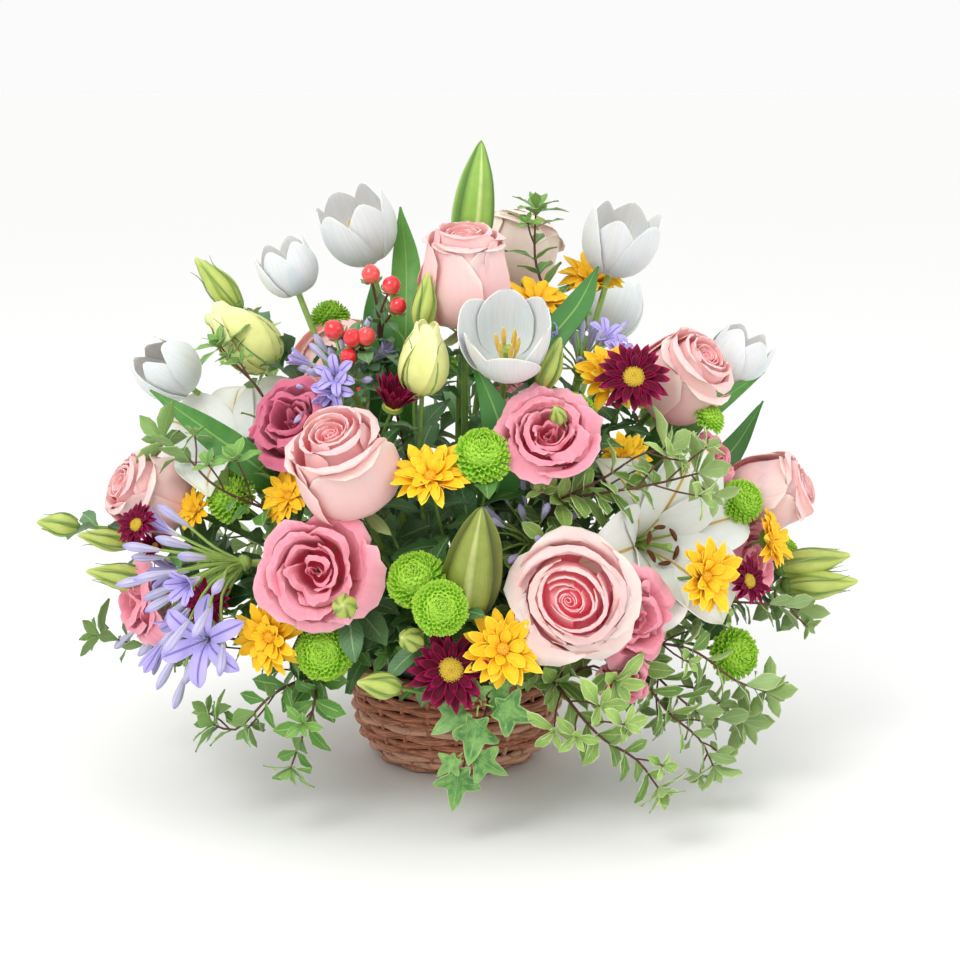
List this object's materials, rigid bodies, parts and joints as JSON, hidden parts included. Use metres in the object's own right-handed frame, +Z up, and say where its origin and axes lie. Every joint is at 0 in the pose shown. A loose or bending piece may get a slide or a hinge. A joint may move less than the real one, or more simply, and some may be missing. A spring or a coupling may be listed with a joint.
{
  "type": "flower basket arrangement",
  "caption": "Low round willow basket holding foam and a full dome of cut roses, tulips, lilies, lisianthus, daisies, agapanthus, berries and trailing greenery.",
  "frame": {"origin": "middle of the basket's underside, on the surface it stands on", "axes": "+Z up; +X to the right of someone who looks at the front; the front faces -Y"},
  "size_m": [0.6226, 0.4398, 0.4777],
  "materials": {
    "willow": "peeled and stained willow rods, satin, reddish brown",
    "liner_film": "thin black plastic film",
    "wet_foam": "fine-celled water-holding floral foam, dark green",
    "rose_petal": "soft petals, pale pink with a deeper heart and creamy green outer petals",
    "tulip_petal": "smooth white petals with a faint green base",
    "lisianthus_petal": "frilled pink petals; buds yellow-green to cream",
    "lily_petal": "smooth white petals with a yellow-green midrib; buds ribbed green",
    "agapanthus_petal": "lavender-blue florets with a darker stripe on pale green stalks",
    "button_petal": "dense lime green button blooms",
    "yellow_petal": "golden yellow rays around a yellow disc",
    "burgundy_petal": "dark burgundy rays around a yellow-green disc",
    "berry": "glossy coral red berries in small green collars",
    "sprig_leaf": "small waxy green leaves, some edged with cream, on brown-red twigs",
    "ivy_leaf": "lobed mid-green leaves with a thin cream edge"
  },
  "bodies": {
    "root": {"basket_base": "willow", "basket_wall": "willow", "basket_rim": "willow", "pot_liner": "liner_film", "floral_foam": "wet_foam", "rose_right_front": "rose_petal", "rose_left_front": "rose_petal", "rose_top": "rose_petal", "rose_top_back": "rose_petal", "rose_right": "rose_petal", "rose_far_right": "rose_petal", "rose_far_left": "rose_petal", "rose_back": "rose_petal", "tulip_high_left": "tulip_petal", "tulip_left": "tulip_petal", "tulip_far_left": "tulip_petal", "tulip_centre": "tulip_petal", "tulip_high_right": "tulip_petal", "tulip_back_right": "tulip_petal", "tulip_right": "tulip_petal", "lily_right": "lily_petal", "lily_left": "lily_petal", "lily_bud_top": "lily_petal", "lisianthus_left_front": "lisianthus_petal", "lisianthus_centre": "lisianthus_petal", "lisianthus_top": "lisianthus_petal", "lisianthus_upper_left": "lisianthus_petal", "lisianthus_low_right": "lisianthus_petal", "lisianthus_right": "lisianthus_petal", "lisianthus_far_left": "lisianthus_petal", "lisianthus_back": "lisianthus_petal", "buttons_front": "button_petal", "buttons_left": "button_petal", "buttons_low_left": "button_petal", "buttons_right": "button_petal", "buttons_upper_right": "button_petal", "buttons_back": "button_petal", "yellow_front": "yellow_petal", "yellow_left": "yellow_petal", "yellow_top": "yellow_petal", "yellow_right": "yellow_petal", "yellow_back": "yellow_petal", "burgundy_front": "burgundy_petal", "burgundy_upper_right": "burgundy_petal", "burgundy_left": "burgundy_petal", "burgundy_right": "burgundy_petal", "agapanthus_left": "agapanthus_petal", "agapanthus_upper_left": "agapanthus_petal", "agapanthus_upper_right": "agapanthus_petal", "agapanthus_centre": "agapanthus_petal", "hypericum": "berry", "sprig_top": "sprig_leaf", "sprig_left": "sprig_leaf", "sprig_centre_right": "sprig_leaf", "sprig_right": "sprig_leaf", "sprig_low_right": "sprig_leaf", "sprig_low_left": "sprig_leaf", "ivy": "ivy_leaf", "sprig_back_left": "sprig_leaf", "sprig_back_right": "sprig_leaf"}
  },
  "joints": []
}
